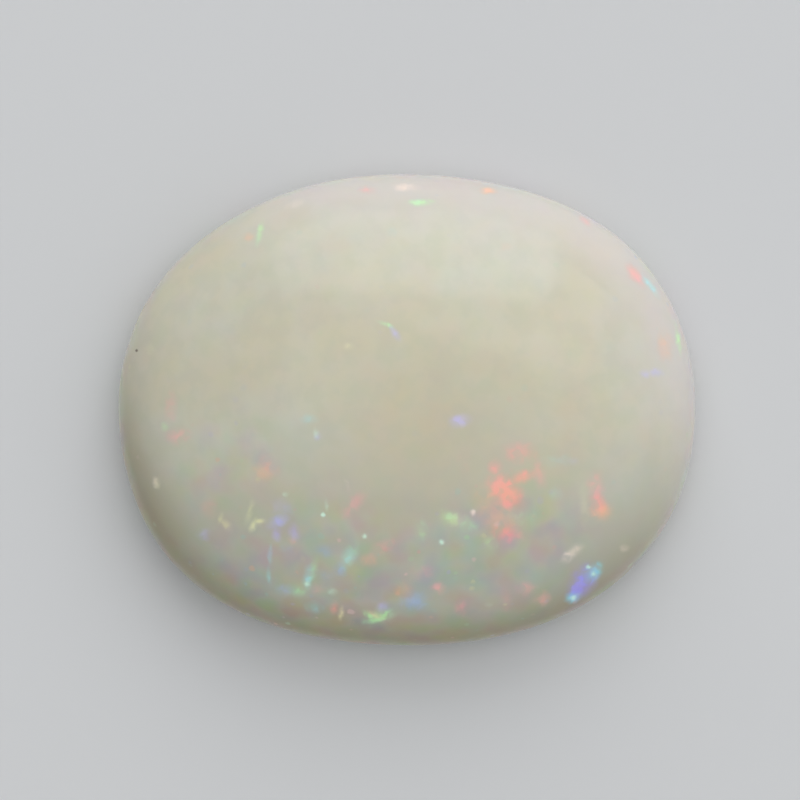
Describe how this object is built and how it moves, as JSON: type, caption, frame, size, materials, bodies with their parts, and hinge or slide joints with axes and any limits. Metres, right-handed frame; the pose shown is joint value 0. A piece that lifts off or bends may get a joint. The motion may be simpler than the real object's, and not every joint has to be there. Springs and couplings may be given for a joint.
{
  "type": "oval opal cabochon",
  "caption": "Polished oval white opal cabochon: milky domed stone with a thin girdle, a bevelled edge and a flat back, lying dome up.",
  "frame": {"origin": "middle of the flat back, on the surface the stone lies on", "axes": "+X along the stone's length, +Y across it towards its clearer, milkier side, +Z out of the crown of the dome"},
  "size_m": [0.022, 0.018, 0.0062],
  "materials": {
    "opal": "polished"
  },
  "bodies": {
    "root": {"opal_cabochon": "opal"}
  },
  "joints": []
}
